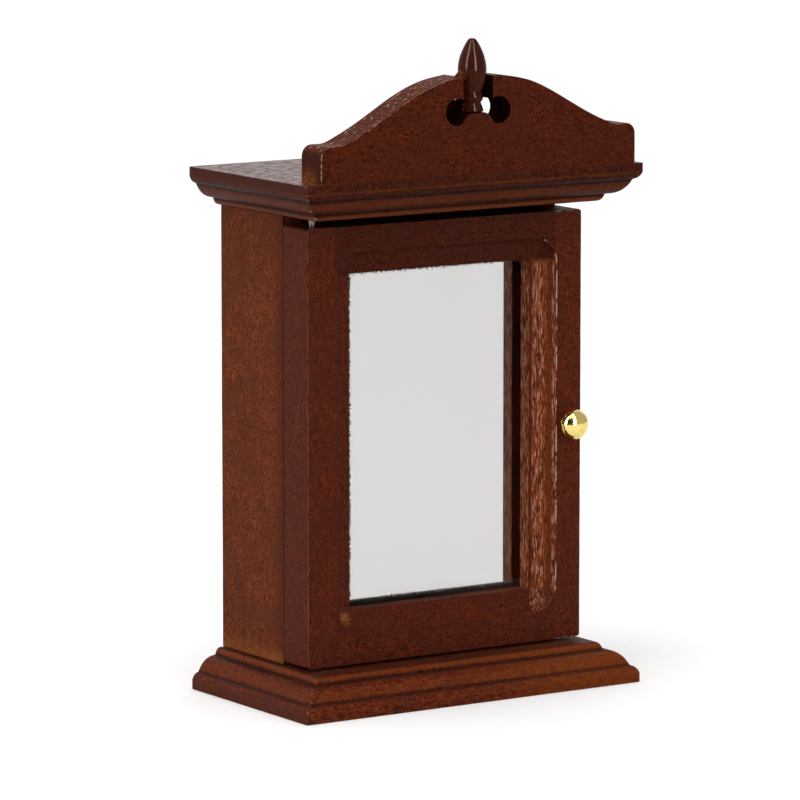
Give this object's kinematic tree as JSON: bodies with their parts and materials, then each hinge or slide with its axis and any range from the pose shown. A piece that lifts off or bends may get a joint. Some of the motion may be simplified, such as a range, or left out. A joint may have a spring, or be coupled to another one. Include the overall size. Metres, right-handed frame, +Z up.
{
  "type": "miniature mirror cabinet",
  "caption": "Doll's house wall cabinet in dark stained wood, with moulded base and cornice, shaped crest with turned finial, and a hinged mirror door with a brass knob.",
  "frame": {"origin": "bottom centre of the base board, which is also the bottom centre of the object's box", "axes": "+Z up, +Y towards the back, +X towards the side with the knob; the door faces -Y"},
  "size_m": [0.0412, 0.0226, 0.0685],
  "materials": {
    "stained_wood": "satin",
    "side_wood": "satin",
    "interior_wood": "satin",
    "mirror": "polished",
    "backing_card": "matte",
    "brass": "polished",
    "steel": "bright"
  },
  "bodies": {
    "cabinet": {"plinth_board": "stained_wood", "cornice_board": "stained_wood", "left_side": "side_wood", "right_side": "side_wood", "back_panel": "interior_wood", "lower_shelf": "interior_wood", "upper_shelf": "interior_wood", "crest_board": "stained_wood", "finial": "stained_wood", "lower_pivot_pin": "steel", "upper_pivot_pin": "steel"},
    "door": {"hinge_stile": "stained_wood", "lock_stile": "stained_wood", "door_top_rail": "stained_wood", "door_bottom_rail": "stained_wood", "mirror_glass": "mirror", "mirror_backing": "backing_card", "door_knob": "brass"}
  },
  "joints": [
    {"name": "door_hinge", "type": "hinge", "parent": "cabinet", "child": "door", "pos_m": [-0.01486, -0.00322, 0.027], "axis": [0, 0, -1], "range_deg": [0, 95]}
  ]
}
